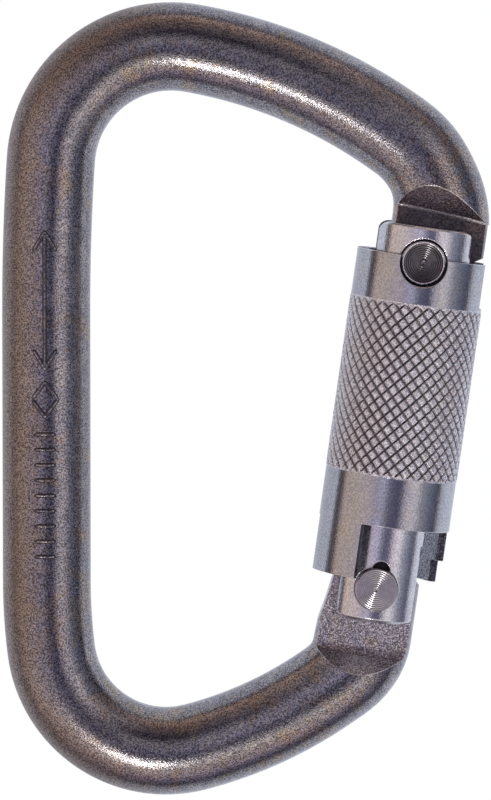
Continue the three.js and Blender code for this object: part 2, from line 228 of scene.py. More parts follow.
def apply_modifiers(obj):
    graph = bpy.context.evaluated_depsgraph_get()
    mesh = bpy.data.meshes.new_from_object(obj.evaluated_get(graph))
    old = obj.data
    obj.modifiers.clear()
    obj.data = mesh
    bpy.data.meshes.remove(old)
    return obj


def boolean(obj, tools, operation="DIFFERENCE"):
    fix_normals(obj)
    for tool in tools:
        fix_normals(tool)
        modifier = obj.modifiers.new("cut", "BOOLEAN")
        modifier.object = tool
        modifier.operation = operation
        modifier.solver = "EXACT"
        modifier.material_mode = "TRANSFER"
    apply_modifiers(obj)
    for tool in tools:
        bpy.data.objects.remove(tool)
    return obj


def join(objects, name):
    """One object whose mesh holds all of these closed shells, with their materials in one list."""
    materials = []
    bm = bmesh.new()
    for obj in objects:
        first = len(bm.faces)
        bm.from_mesh(obj.data)
        bm.faces.ensure_lookup_table()
        slots = []
        for material in obj.data.materials:
            if material not in materials:
                materials.append(material)
            slots.append(materials.index(material))
        for face in bm.faces[first:]:
            face.material_index = slots[face.material_index] if slots else 0
        bpy.data.objects.remove(obj)
    mesh = bpy.data.meshes.new(name)
    bm.to_mesh(mesh)
    bm.free()
    for material in materials:
        mesh.materials.append(material)
    return new_object(name, mesh)


def paint_faces(obj, material, chosen):
    """Gives one more material to the faces whose centre is chosen."""
    obj.data.materials.append(material)
    for face in obj.data.polygons:
        if chosen(face.center):
            face.material_index = len(obj.data.materials) - 1


def within(radius):
    """Chooses what lies closer to the gate axis than this."""
    return lambda place: math.hypot(place.x, place.z) < radius


def round_normals(obj, radii):
    """Shades the surfaces that are round about the gate axis by their true normals."""
    mesh = obj.data
    normals = [corner.vector.copy() for corner in mesh.corner_normals]
    for face in mesh.polygons:
        for index in face.loop_indices:
            place = mesh.vertices[mesh.loops[index].vertex_index].co
            radial = Vector((place.x, 0, place.z))
            if min(abs(radial.length - r) for r in radii) > 0.015:
                continue
            radial.normalize()
            facing = face.normal.dot(radial)
            if abs(facing) > 0.985:
                normals[index] = radial if facing > 0 else -radial
    mesh.normals_split_custom_set([n[:] for n in normals])


def finish_piece(obj, name, body, nodes=(), sharp=35, round_radii=()):
    """Into the row frame, smooth shaded, riding on its body and standing for its CAD nodes."""
    obj.name = name
    obj.data.name = name
    fix_normals(obj)
    obj.data.shade_smooth()
    obj.data.set_sharp_from_angle(angle=math.radians(sharp))
    if round_radii:
        round_normals(obj, round_radii)
    move(obj, gate_matrix())
    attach(obj, body)
    if nodes:
        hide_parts(*nodes)
    return obj


# ---- Materials ----
class Nodes:
    """A small wrapper that adds nodes to a tree and wires them as they are made."""

    def __init__(self, tree):
        self.tree = tree

    def add(self, kind, inputs=None, **settings):
        node = self.tree.nodes.new(kind)
        for key, value in settings.items():
            setattr(node, key, value)
        for key, value in (inputs or {}).items():
            if isinstance(value, bpy.types.NodeSocket):
                self.tree.links.new(value, node.inputs[key])
            else:
                node.inputs[key].default_value = value
        return node

    def noise(self, vector, size, detail, rough):
        """Noise with features of about this size in mm."""
        node = self.add("ShaderNodeTexNoise", {"Vector": vector, "Scale": 1 / (size * MM), "Detail": detail,
                                               "Roughness": rough})
        return node.outputs["Fac"]

    def math(self, operation, a, b):
        return self.add("ShaderNodeMath", {0: a, 1: b}, operation=operation).outputs[0]

    def mean(self, a, b):
        return self.math("MULTIPLY", self.math("ADD", a, b), 0.5)

    def vector(self, operation, a, b, output="Value"):
        return self.add("ShaderNodeVectorMath", {0: a, 1: b}, operation=operation).outputs[output]

    def ramp(self, fac, stops, smooth=False):
        node = self.add("ShaderNodeValToRGB", {"Fac": fac})
        ramp = node.color_ramp
        ramp.interpolation = "EASE" if smooth else "LINEAR"
        while len(ramp.elements) > 1:
            ramp.elements.remove(ramp.elements[-1])
        ramp.elements[0].position = stops[0][0]
        ramp.elements[0].color = (*stops[0][1], 1)
        for place, color in stops[1:]:
            ramp.elements.new(place).color = (*color, 1)
        return node.outputs["Color"]

    def mix(self, fac, a, b, blend="MIX"):
        node = self.add("ShaderNodeMix", data_type="RGBA", blend_type=blend)
        for socket, value in ((0, fac), (6, a), (7, b)):
            if isinstance(value, bpy.types.NodeSocket):
                self.tree.links.new(value, node.inputs[socket])
            elif socket == 0:
                node.inputs[0].default_value = value
            else:
                node.inputs[socket].default_value = (*value, 1)
        return node.outputs[2]

    def span(self, value, low, high, to_low, to_high):
        node = self.add("ShaderNodeMapRange", {"Value": value, "From Min": low, "From Max": high,
                                               "To Min": to_low, "To Max": to_high})
        return node.outputs["Result"]


def fresh_nodes(owner):
    """An empty node tree on a material or a world."""
    owner.use_nodes = True
    owner.node_tree.nodes.clear()
    return Nodes(owner.node_tree)


PATCH, CLOUD, FACET = 9, 2.2, 0.13  # sizes in mm of the tarnish, its detail and the bright facets
FACET_POWER, FACET_GAIN = 2.5, 2.5  # how few of the facets are bright, and how bright those are
TARNISH = 0.85
BROWNED = [  # a direction in plan, and how far out that way, in m, the browning starts and is full
    ((-1, 0, 0), 0.0265, 0.0325),
    ((-0.71, 0.71, 0), 0.0455, 0.0515),
    ((-0.71, -0.71, 0), 0.0455, 0.0530),
]
BROWN, BROWN_ROUGHER, BROWN_RAGGED = (0.25, 0.195, 0.165), 0.28, 0.002
PLAN = Vector((1, 1, 0))
# A painted highlight: a bright patch in the middle of the tang slope, full out to the first radius in mm
# and gone at the second.
HIGHLIGHT_AT = (gate_matrix() @ Vector((-1.1, -11.1, 0))) * PLAN
HIGHLIGHT_FROM, HIGHLIGHT_R = 1.4, 2.9
HIGHLIGHT_COLOR = (1.0, 0.98, 0.98)
# The lighter colour of the rounded edges: rubbed wear together with a painted highlight along them.
EDGE_WEAR_AND_HIGHLIGHT = (1.0, 0.97, 0.96)


def tarnished(n, place, cloud, colors):
    """The clean steel with soft patches of the dull and the warm one."""
    clean, dull, warm = colors
    patches = n.noise(place, PATCH, 3.0, 0.55)
    tint = n.ramp(n.mean(patches, cloud), [(0.40, clean), (0.50, dull), (0.60, warm)], smooth=True)
    return n.mix(TARNISH, clean, tint)


def browning(n, place, cloud, flank):
    """How brown the outer side of the spine and of its two bends is."""
    ragged = n.math("MULTIPLY", cloud, BROWN_RAGGED)
    browned = 0.0
    for side, start, full in BROWNED:
        out = n.math("SUBTRACT", n.vector("DOT_PRODUCT", place, side), ragged)
        browned = n.math("MAXIMUM", n.span(out, start, full, 0, flank), browned)
    return browned


def speckles(n, place, fine, speckle, sparkle):
    """Brightness about 1 that follows the grain and, with sparkle, the single facets."""
    spots = n.span(fine, 0.40, 0.60, 1 - speckle, 1 + speckle)
    if sparkle:
        cells = n.add("ShaderNodeTexVoronoi", {"Vector": place, "Scale": 1 / (FACET * MM)}).outputs["Color"]
        lit = n.math("POWER", n.add("ShaderNodeSeparateColor", {0: cells}).outputs[0], FACET_POWER)
        spots = n.math("MULTIPLY", spots, n.span(lit, 0, 1, 1 - sparkle, 1 + FACET_GAIN * sparkle))
    return n.add("ShaderNodeCombineColor", {0: spots, 1: spots, 2: spots}).outputs[0]


def metal(name, colors, rough, grain, edge=0.0, flank=0.0, sparkle=0.0, painted_highlight=False):
    """Steel with a fine grain, patches of tarnish and rounded edges, lightened as rubbed wear and as a
    painted highlight.

    colors is the clean, the dull and the warm steel; rough is the least and the most roughness; grain is
    (size mm, depth mm, speckle); edge is the radius of the edges in mm; flank is how strongly the outer
    side of the spine is tinted brown; sparkle is how much the brightness of the single facets varies; the
    last flag adds a painted highlight, the bright patch on the tang slope.
    """
    size, depth, speckle = grain
    material = bpy.data.materials.new(name)
    n = fresh_nodes(material)
    place = n.add("ShaderNodeTexCoord").outputs["Object"]
    fine = n.noise(place, size, 2.0, 0.6)
    cloud = n.noise(place, CLOUD, 4.0, 0.6)
    tint = tarnished(n, place, cloud, colors)
    gloss = n.span(n.mean(fine, cloud), 0.35, 0.65, *rough)
    if flank:
        browned = browning(n, place, cloud, flank)
        tint = n.mix(browned, tint, BROWN)
        gloss = n.math("ADD", gloss, n.math("MULTIPLY", browned, BROWN_ROUGHER))
    # paints a highlight: the bright patch on the tang slope
    if painted_highlight:
        away = n.vector("DISTANCE", n.vector("MULTIPLY", place, PLAN, "Vector"), HIGHLIGHT_AT)
        tint = n.mix(n.span(away, HIGHLIGHT_FROM * MM, HIGHLIGHT_R * MM, 1, 0), tint, HIGHLIGHT_COLOR)
    tint = n.mix(1.0, tint, speckles(n, place, fine, speckle, sparkle), "MULTIPLY")
    bump = n.add("ShaderNodeBump", {"Height": fine, "Strength": 1.0, "Distance": depth * MM})
    if edge:
        rounded = n.add("ShaderNodeBevel", {"Radius": edge * MM}, samples=6).outputs[0]
        n.tree.links.new(rounded, bump.inputs["Normal"])
        face = n.add("ShaderNodeNewGeometry").outputs["Normal"]
        facing = n.vector("DOT_PRODUCT", rounded, face)
        # Lightens the base colour where the rounded normal turns away: rubbed wear and a painted edge
        # highlight.
        tint = n.mix(n.span(facing, 0.985, 0.9, 0, 0.9), tint, EDGE_WEAR_AND_HIGHLIGHT)
    surface = n.add("ShaderNodeBsdfPrincipled", {"Base Color": tint, "Roughness": gloss,
                                                 "Normal": bump.outputs[0], "Metallic": 1.0})
    n.add("ShaderNodeOutputMaterial", {"Surface": surface.outputs[0]})
    return material


BAR_STEEL = metal("tumbled_steel", ((0.35, 0.32, 0.31), (0.26, 0.25, 0.27), (0.33, 0.27, 0.22)),
                  (0.08, 0.15), (0.21, 0.025, 0.65), 0.2, 0.9)
MILLED_STEEL = metal("milled_steel", ((0.38, 0.35, 0.38), (0.33, 0.31, 0.35), (0.36, 0.31, 0.28)),
                     (0.28, 0.40), (0.16, 0.10, 0.3), 0.16, sparkle=0.6)
# The tang slope's milled steel, with the painted highlight patch in its middle.
SLOPE_STEEL = metal("milled_slope_steel", ((0.60, 0.56, 0.60), (0.52, 0.49, 0.53), (0.56, 0.50, 0.49)),
                    (0.22, 0.32), (0.16, 0.08, 0.3), 0.24, sparkle=0.65, painted_highlight=True)
# Darker steel: painted shade on the nose slope and in the hollow at the foot of the tang slope.
SLOPE_SHADE = metal("slope_steel_painted_shade", ((0.42, 0.37, 0.40), (0.34, 0.31, 0.34), (0.42, 0.35, 0.33)),
                    (0.26, 0.38), (0.24, 0.10, 0.4), 0.2, sparkle=0.5)
# Bright steel: a painted highlight along the crest at the foot of the nose slope, also used on the latch
# rivet's rim.
RUBBED_AND_HIGHLIGHT_STEEL = metal("rubbed_and_painted_highlight_steel", ((0.95, 0.90, 0.90), (0.80, 0.76, 0.78), (0.92, 0.84, 0.80)),
                     (0.20, 0.34), (0.24, 0.10, 0.3))
# Near-black steel: painted shade on the nose flat, deep in the gap beside the gate head.
NOSE_FLAT_SHADE = metal("milled_steel_painted_shade", ((0.13, 0.11, 0.12), (0.09, 0.08, 0.09), (0.14, 0.11, 0.10)),
                    (0.26, 0.38), (0.24, 0.10, 0.45), 0.4)
GATE_STEEL = metal("plated_gate_steel", ((0.70, 0.69, 0.70), (0.63, 0.62, 0.64), (0.69, 0.65, 0.63)),
                   (0.05, 0.10), (0.26, 0.025, 0.18), 0.3)
SLEEVE_STEEL = metal("plated_sleeve_steel", ((0.50, 0.50, 0.51), (0.46, 0.46, 0.48), (0.50, 0.48, 0.46)),
                     (0.05, 0.10), (0.26, 0.02, 0.2), 0.2)
KNURL_STEEL = metal("knurled_sleeve_steel", ((0.87, 0.84, 0.86), (0.79, 0.77, 0.79), (0.83, 0.79, 0.78)),
                    (0.30, 0.40), (0.2, 0.12, 0.5))
# Near-black steel: painted shade on the cut walls, slots and bores of the gate and the sleeve.
CUT_SHADE_STEEL = metal("cut_steel_painted_shade", ((0.09, 0.09, 0.11), (0.06, 0.06, 0.08), (0.09, 0.08, 0.08)),
                    (0.26, 0.38), (0.25, 0.08, 0.3), 0.2, sparkle=0.6)
BORE_STEEL = metal("bored_sleeve_steel", ((0.50, 0.51, 0.56), (0.40, 0.41, 0.46), (0.46, 0.45, 0.46)),
                   (0.18, 0.30), (0.25, 0.12, 0.5), 0.2)
# Darker steels: painted shade in the two families of knurl grooves, deeper in the thin ones.
THIN_GROOVE_SHADE = metal("thin_groove_painted_shade",
                          ((0.24, 0.23, 0.24), (0.19, 0.18, 0.19), (0.23, 0.21, 0.20)),
                          (0.30, 0.42), (0.2, 0.06, 0.35))
WIDE_GROOVE_SHADE = metal("wide_groove_painted_shade",
                          ((0.34, 0.32, 0.33), (0.27, 0.26, 0.27), (0.32, 0.29, 0.28)),
                          (0.30, 0.42), (0.2, 0.08, 0.4))
# Near-black steel: painted shadow along the low flanks of the raised marks.
SHADOW_STEEL = metal("mark_flank_painted_shadow", ((0.10, 0.09, 0.10), (0.08, 0.07, 0.08), (0.11, 0.09, 0.08)),
                     (0.30, 0.42), (0.2, 0.05, 0.3))
# Near-black steel: painted shade inside the small pocket in the gate.
POCKET_SHADE_STEEL = metal("pocket_steel_painted_shade", ((0.06, 0.06, 0.07), (0.05, 0.05, 0.05), (0.06, 0.05, 0.05)),
                    (0.40, 0.50), (0.25, 0.08, 0.3))
PIN_STEEL = metal("turned_pin_steel", ((0.50, 0.46, 0.46), (0.44, 0.41, 0.42), (0.48, 0.43, 0.41)),
                  (0.12, 0.20), (0.3, 0.004, 0.05))
# Dark steel: painted shade in the dish of the latch rivet's head.
DISH_SHADE_STEEL = metal("dished_pin_painted_shade", ((0.17, 0.155, 0.155), (0.13, 0.12, 0.13), (0.16, 0.14, 0.13)),
                   (0.12, 0.20), (0.3, 0.004, 0.1))
SPRING_STEEL = metal("oiled_spring_steel", ((0.40, 0.40, 0.42), (0.34, 0.34, 0.37), (0.42, 0.38, 0.33)),
                     (0.20, 0.32), (0.3, 0.006, 0.05))


# ---- The bar ----
def bends_from(x, y, heading, bends, side):
    """Stations (x, y, heading) down a chain of tangent bends."""
    stations = [(x, y, heading)]
    for radius, turn in bends:
        steps = max(2, round(math.radians(turn) * radius / BEND_STEP))
        cx = x - side * radius * math.sin(heading)
        cy = y + side * radius * math.cos(heading)
        start = heading
        for i in range(1, steps + 1):
            heading = start + side * math.radians(turn) * i / steps
            x = cx + side * radius * math.sin(heading)
            y = cy - side * radius * math.cos(heading)
            stations.append((x, y, heading))
    return stations


def straight_on(stations, end_s):
    """Adds the straight that runs along the gate, up to an s."""
    x, y, heading = stations[-1]
    tilt = math.radians(GATE_TILT)
    s = (x - HINGE_PLAN[0]) * math.sin(tilt) + (y - HINGE_PLAN[1]) * math.cos(tilt)
    length = abs(end_s - s)
    return stations + [(x + length * math.cos(heading), y + length * math.sin(heading), heading)]


def with_widths(stations):
    """Adds each station's half width in plan, which flares towards the end."""
    run, result = 0.0, []
    for i in range(len(stations) - 1, -1, -1):
        if i < len(stations) - 2:
            run += math.dist(stations[i][:2], stations[i + 1][:2])
        share = min(max(1 - run / FLARE_LENGTH, 0), 1)
        result.insert(0, (*stations[i], BAR_R + FLARE * share * share * (3 - 2 * share)))
    return result


def bar_stations():
    """Down the whole bar from the nose to the tang, each half built outwards from the spine."""
    def chain(end, heading, side, total):
        used = sum(turn for _, turn in end["bends"])
        bends = end["bends"] + [(end["last"], total - used)]
        return bends_from(SPINE_X, end["y"], heading, bends, side)

    top = chain(TOP, math.pi / 2, -1, 180 + GATE_TILT)
    foot = chain(FOOT, -math.pi / 2, 1, 180 - GATE_TILT)
    nose = with_widths(straight_on(top, TIP_RADIUS - 1.5))
    tang = with_widths(straight_on(foot, 7))
    back = [(x, y, heading + math.pi, half) for x, y, heading, half in reversed(nose)]
    return back + tang


def bar_blank():
    """The bent bar before milling, in the gate frame."""
    sides = 72
    stations = bar_stations()
    rings = []
    for x, y, heading, half in stations:
        ring = []
        for j in range(sides):
            a = 2 * math.pi * (j + 0.5) / sides
            out = half * math.cos(a)
            ring.append((x - out * math.sin(heading), y + out * math.cos(heading), BAR_R * math.sin(a)))
        rings.append(ring)
    return move(ring_loft("bar", rings), plan_to_gate())


def plan_to_gate():
    turn = Matrix.Rotation(math.radians(GATE_TILT), 4, "Z")
    return turn @ Matrix.Translation((-HINGE_PLAN[0], -HINGE_PLAN[1], 0))


def about_hinge(radii, start, end, steps):
    """Points about the hinge between two angles from +s towards -t, while the radius changes evenly."""
    points = []
    for i in range(steps + 1):
        a = math.radians(start + (end - start) * i / steps)
        r = radii[0] + (radii[1] - radii[0]) * i / steps
        points.append((-r * math.sin(a), r * math.cos(a)))
    return points


def nose_outline():
    notch = LATCH_PIN_R + 0.3
    lip = LATCH_S - notch
    seat = [(notch * math.cos(a), LATCH_S + notch * math.sin(a))
            for a in (math.radians(-90 + 15 * i) for i in range(13))]
    mouth = math.degrees(math.asin(TONGUE_IN / (LATCH_S + notch)))
    return [
        (SHOULDER_OUT, NOSE_SHOULDER + 1), (SHOULDER_OUT, SLEEVE_TOP + 0.9),
        (TONGUE_OUT, SLEEVE_TOP + 0.3), (TONGUE_OUT, TIP_RADIUS + 1.3),
        *about_hinge((TIP_RADIUS, TIP_RADIUS), -8, 4.2, 12),
        *about_hinge((TIP_RADIUS + 0.6, lip - 0.6), 5, 5, 1),
        *about_hinge((lip, lip), 4.2, 1, 4),
        *seat,
        *about_hinge((LATCH_S + notch, LATCH_S + notch), 1, mouth, 5),
        (-TONGUE_IN, NOSE_SHOULDER + 1),
    ]


def tang_outline():
    cam = (4.9, 6.1)
    return [
        (6.4, TANG_SHOULDER - 1), (6.4, 0.8),
        *about_hinge((cam[0], cam[0]), -60, -4, 12),
        *about_hinge(cam, 0, 40, 16),
        *about_hinge((cam[1], cam[1]), 45, 70, 6),
        (-6.25, 0.5), (-6.85, -3), (-7.5, -6), (-7.8, TANG_SHOULDER - 1),
    ]


def shoulder_tools(shoulder, end, slope, skew, lip=0.0):
    """The two cutters that mill one end of the bar down to its flat, out through a fillet and up a slope.

    With a lip the flat lies that much deeper, and the slope starts with a small crisp step.
    """
    away = 1 if shoulder > end else -1
    profile = []
    for i in range(7 if lip else 0, 13):
        a = math.radians(slope * i / 12)
        profile.append((away * FILLET_R * math.sin(a), FLAT_HALF + FILLET_R * (1 - math.cos(a))))
    s, z = profile[-1]
    top = s + away * (FAR - z) / math.tan(math.radians(slope))
    profile += [(top, FAR), (end - shoulder, FAR), (end - shoulder, FLAT_HALF - lip)]
    if lip:
        profile.insert(0, (profile[0][0], FLAT_HALF - lip))
    place = Matrix.Translation((0, shoulder, 0)) @ Matrix.Rotation(math.radians(-skew), 4, "Z")
    tools = []
    for side in (1, -1):
        rings = []
        for t in (FAR * i / 24 for i in range(-24, 25)):
            bow = -away * t * t / (2 * SLOPE_BOW_R)
            ring = [(t, y + bow * max(h - FLAT_HALF, 0.3) / BAR_R, side * h) for y, h in profile[:-2]]
            rings.append(ring + [(t, y, side * h) for y, h in profile[-2:]])
        tools.append(move(ring_loft("shoulder", rings), place))
    return tools


BAR_STEELS = [BAR_STEEL, MILLED_STEEL, NOSE_FLAT_SHADE, SLOPE_STEEL, SLOPE_SHADE, RUBBED_AND_HIGHLIGHT_STEEL]


def milled_steel(face):
    """Which steel a milled face of the bar shows, by where it lies and how steep it is."""
    nose = face.center.y > TIP_RADIUS - 4
    height = abs(face.center.z)
    if abs(face.normal.z) >= 0.99:
        # the nose flat gets painted shade
        return NOSE_FLAT_SHADE if nose else MILLED_STEEL
    if nose:
        # the crest strip at the foot of the nose slope gets a painted highlight, the rest of that slope
        # painted shade
        crest = face.normal.z ** 2 > 0.2 and height < CREST_Z
        return RUBBED_AND_HIGHLIGHT_STEEL if crest else SLOPE_SHADE
    # the hollow at the foot of the tang slope gets painted shade
    return SLOPE_SHADE if height < HOLLOW_Z else SLOPE_STEEL


def make_bar():
    bar = bar_blank()
    for material in BAR_STEELS:
        bar.data.materials.append(material)
    nose_end = TIP_RADIUS - 3
    nose_blank = block((-FAR, FAR), (nose_end, NOSE_SHOULDER), (-BLANK_HALF, BLANK_HALF))
    tang_blank = block((-FAR, FAR), (TANG_SHOULDER, TANG_END), (-BLANK_HALF, BLANK_HALF))
    boolean(nose_blank, [prism("nose", nose_outline(), -CUT_HALF, CUT_HALF)])
    boolean(tang_blank, [prism("tang", tang_outline(), -CUT_HALF, CUT_HALF)])
    tools = [nose_blank, tang_blank, rod(HINGE_PIN_R + TANG_PLAY, 0, -CUT_HALF, CUT_HALF)]
    tools += shoulder_tools(NOSE_SHOULDER, nose_end, NOSE_SLOPE, NOSE_SKEW, NOSE_LIP)
    tools += shoulder_tools(TANG_SHOULDER, TANG_END, TANG_SLOPE, 0)
    for tool in tools:
        tool.data.materials.append(MILLED_STEEL)
    boolean(bar, tools)
    for face in bar.data.polygons:
        if BAR_STEELS[face.material_index] == MILLED_STEEL:
            face.material_index = BAR_STEELS.index(milled_steel(face))
    return finish_piece(bar, "bar_body_steel", "body", ["bar_body"], 32)


# ---- Generic forged marks down the spine ----
def spine_strokes():
    """Plain signs as strokes of (across, along) points: a load arrow, a lozenge and a row of ticks."""
    arrow = [
        [(0, 24.2), (0, 5.0)],
        [(-1.7, 21.6), (0, 24.4), (1.7, 21.6)],
        [(-1.7, 7.6), (0, 4.8), (1.7, 7.6)],
    ]
    lozenge = [[(-1.85, 0.4), (0, 2.9), (1.85, 0.4), (0, -2.1), (-1.85, 0.4)]]
    ticks = [[(-1.6, y), (1.6, y)] for y in (-4.6 - 2.2 * i for i in range(9))]
    return arrow + lozenge + ticks


def stroke_points(line, step=0.35):
    """A stroke's points, close enough together to follow the bar."""
    points = []
    for (x0, y0), (x1, y1) in zip(line, line[1:]):
        count = max(1, round(math.dist((x0, y0), (x1, y1)) / step))
        points += [(x0 + (x1 - x0) * i / count, y0 + (y1 - y0) * i / count) for i in range(count)]
    return points + [line[-1]]


def raised_stroke(line):
    """A low rounded ridge that follows the round bar under it."""
    sides = 10
    points = stroke_points(line)
    rings = []
    for i, (x, y) in enumerate(points):
        ahead = points[min(i + 1, len(points) - 1)]
        behind = points[max(i - 1, 0)]
        dx, dy = ahead[0] - behind[0], ahead[1] - behind[1]
        length = math.hypot(dx, dy)
        end = 0.35 if i in (0, len(points) - 1) else 1
        ring = []
        for j in range(sides):
            a = 2 * math.pi * j / sides
            side = MARK_HALF * end * math.cos(a)
            px, py = x - side * dy / length, y + side * dx / length
            turn = px / BAR_R
            r = BAR_R + MARK_PROUD * end * math.sin(a)
            ring.append((SPINE_X + r * math.sin(turn), py, r * math.cos(turn)))
        rings.append(ring)
    return ring_loft("stroke", rings)


def make_marks():
    marks = join([raised_stroke(line) for line in spine_strokes()], "marks")
    marks.data.materials.append(BAR_STEEL)
    # painted shadow on the flanks of the marks
    paint_faces(marks, SHADOW_STEEL, lambda c: math.hypot(c.x - SPINE_X, c.z) < BAR_R + MARK_FLANK)
    move(marks, plan_to_gate())
    return finish_piece(marks, "spine_marks", "body", (), 60)


# ---- The gate ----
def corner(x, y, r, start):
    """Points over 90 degrees of a circle of radius r about (x, y)."""
    angles = [math.radians(start + 9 * i) for i in range(11)]
    return [(x + r * math.cos(a), y + r * math.sin(a)) for a in angles]


def ear_outline():
    foot = GATE_FOOT + EAR_ROUND
    return [*corner(-EAR_IN + EAR_ROUND, foot, EAR_ROUND, 180),
            *corner(EAR_OUT - EAR_ROUND, foot, EAR_ROUND, 270),
            (EAR_OUT, EAR_TOP), (-EAR_IN, EAR_TOP)]


def head_outline():
    side, top = HEAD_HALF - HEAD_ROUND, GATE_TOP - HEAD_ROUND
    return [(-HEAD_HALF, GATE_HEAD_FROM), (HEAD_HALF, GATE_HEAD_FROM),
            *corner(side, top, HEAD_ROUND, 0), *corner(-side, top, HEAD_ROUND, 90)]


def outside(outline, s0, s1):
    """What lies outside an outline between two heights, to cut a piece to that outline."""
    waste = block((-FAR, FAR), (s0, s1), (-FAR, FAR))
    return boolean(waste, [prism("keep", outline, -FAR - 1, FAR + 1)])


def make_gate():
    gate = turned("gate", [
        (0, GATE_FOOT), (GATE_R - 0.5, GATE_FOOT), (GATE_R, GATE_FOOT + 0.5),
        (GATE_R, SEAT_GROOVE[0]), (SEAT_GROOVE_R, SEAT_GROOVE[0]),
        (SEAT_GROOVE_R, SEAT_GROOVE[1]), (GATE_R, SEAT_GROOVE[1]),
        (GATE_R, GATE_HEAD_FROM), (GATE_HEAD_R, GATE_HEAD_FROM),
        (GATE_HEAD_R, GATE_TOP - 0.3), (GATE_HEAD_R - 0.3, GATE_TOP), (0, GATE_TOP)], 128)
    gate.data.materials.append(GATE_STEEL)
    tools = [
        outside(ear_outline(), GATE_FOOT - 1, WASTE_TOP),
        outside(head_outline(), NOSE_SLOT_FROM + 2, GATE_TOP + 1),
        block((-FAR, FAR), (GATE_FOOT - 1, FOOT_SLOT_END), (-SLOT_HALF, SLOT_HALF)),
        block((-FAR, FAR), (NOSE_SLOT_FROM, GATE_TOP + 1), (-SLOT_HALF, SLOT_HALF)),
        turned("bore", [(0, FOOT_SLOT_END - 1), (SPRING_BORE_R, FOOT_SLOT_END - 1),
                        (SPRING_BORE_R, SPRING_BORE_TOP), (0, SPRING_BORE_TOP)], 48),
        rod(HINGE_PIN_R + PIN_PLAY, 0, -FAR, FAR),
        rod(LATCH_PIN_R + PIN_PLAY, LATCH_S, -FAR, FAR),
    ]
    for low, high in ((HEAD_SEAT_Z, FAR), (-FAR, -HEAD_SEAT_Z)):
        tools.append(rod(HINGE_HEAD_R + 0.1, 0, low, high, 96))
        tools.append(rod(LATCH_HEAD_R + 0.25, LATCH_S, low, high, 96))
    # the faces these cut get painted shade
    for tool in tools:
        tool.data.materials.append(CUT_SHADE_STEEL)
    pocket = rod(POCKET_R, POCKET_AT[1], POCKET_FLOOR, FAR, 48)
    move(pocket, Matrix.Translation((POCKET_AT[0], 0, 0)))
    # painted shade inside the pocket
    pocket.data.materials.append(POCKET_SHADE_STEEL)
    boolean(gate, tools + [pocket])
    radii = (GATE_R, GATE_HEAD_R)
    return finish_piece(gate, "gate_steel_barrel", "gate", ["gate"], 32, radii)


# ---- The rivets ----
def tool_rings(r_from, r_to, centre_z, height):
    """Points inwards over a turned face, with the round ridges that a lathe tool leaves on it."""
    count = int((r_from - r_to) / TOOL_PITCH) * RIDGE_POINTS
    points = []
    for i in range(count + 1):
        r = r_from - TOOL_PITCH * i / RIDGE_POINTS
        dip = height * (0.5 - 0.5 * math.cos(2 * math.pi * i / RIDGE_POINTS))
        points.append((r, centre_z - TURNED_LEAN * r - dip))
    return points


def rivet(name, shank, half, s):
    """A shank with a head at each end, turned about z and set at an s."""
    mirrored = [(r, -z) for r, z in reversed(half)]
    seat = HEAD_SEAT_Z + SEAT_PLAY
    profile = mirrored + [(shank, -seat), (shank, seat)] + half
    obj = turned(name, profile, 72)
    return move(obj, Matrix.Translation((0, s, 0)) @ Matrix.Rotation(math.radians(90), 4, "X"))


def make_hinge_pin():
    seat = HEAD_SEAT_Z + SEAT_PLAY
    crown = tool_rings(HINGE_HEAD_R - 0.22, 0.35, HINGE_HEAD_Z, 0.035)
    half = [(HINGE_HEAD_R, seat), (HINGE_HEAD_R, HINGE_HEAD_Z - 0.3),
            (HINGE_HEAD_R - 0.08, HINGE_HEAD_Z - 0.12), *crown,
            (0.25, HINGE_HEAD_Z - 0.12), (0, HINGE_HEAD_Z - 0.3)]
    pin = rivet("hinge_pin", HINGE_PIN_R, half, 0)
    pin.data.materials.append(PIN_STEEL)
    return finish_piece(pin, "hinge_rivet", "gate", ["hinge_pin"], 60)


def make_latch_pin():
    seat = HEAD_SEAT_Z + SEAT_PLAY
    dish = tool_rings(LATCH_WALL - 0.12, 0.3, DISH_Z, 0.05)
    half = [(LATCH_HEAD_R, seat), (LATCH_HEAD_R, LATCH_HEAD_Z - 0.18), (LATCH_HEAD_R - 0.12, LATCH_HEAD_Z),
            (LATCH_WALL + 0.08, LATCH_HEAD_Z), (LATCH_WALL, LATCH_HEAD_Z - 0.1),
            (LATCH_WALL - 0.06, DISH_Z + 0.33), *dish,
            (0.18, DISH_Z - 0.07), (0, DISH_Z - 0.22)]
    pin = rivet("latch_pin", LATCH_PIN_R, half, LATCH_S)
    pin.data.materials.append(PIN_STEEL)
    # the flat top of the rim gets the bright steel of the painted crest highlight
    paint_faces(pin, RUBBED_AND_HIGHLIGHT_STEEL, lambda c: abs(c.z) > LATCH_HEAD_Z - 0.02)
    # painted shade in the dish
    paint_faces(pin, DISH_SHADE_STEEL, lambda c: math.hypot(c.x, c.y - LATCH_S) < LATCH_WALL - 0.02)
    return finish_piece(pin, "latch_rivet", "gate", ["latch_pin"], 60)


# ---- The sleeve ----
def sector(low, high, s0, s1):
    """A wedge about the gate axis between two angles from +z towards +t."""
    points = [(0, 0)]
    for i in range(25):
        a = math.radians(low + (high - low) * i / 24)
        points.append((FAR * math.sin(a), FAR * math.cos(a)))
    rings = [[(t, s, z) for t, z in points] for s in (s0, s1)]
    return ring_loft("sector", rings)


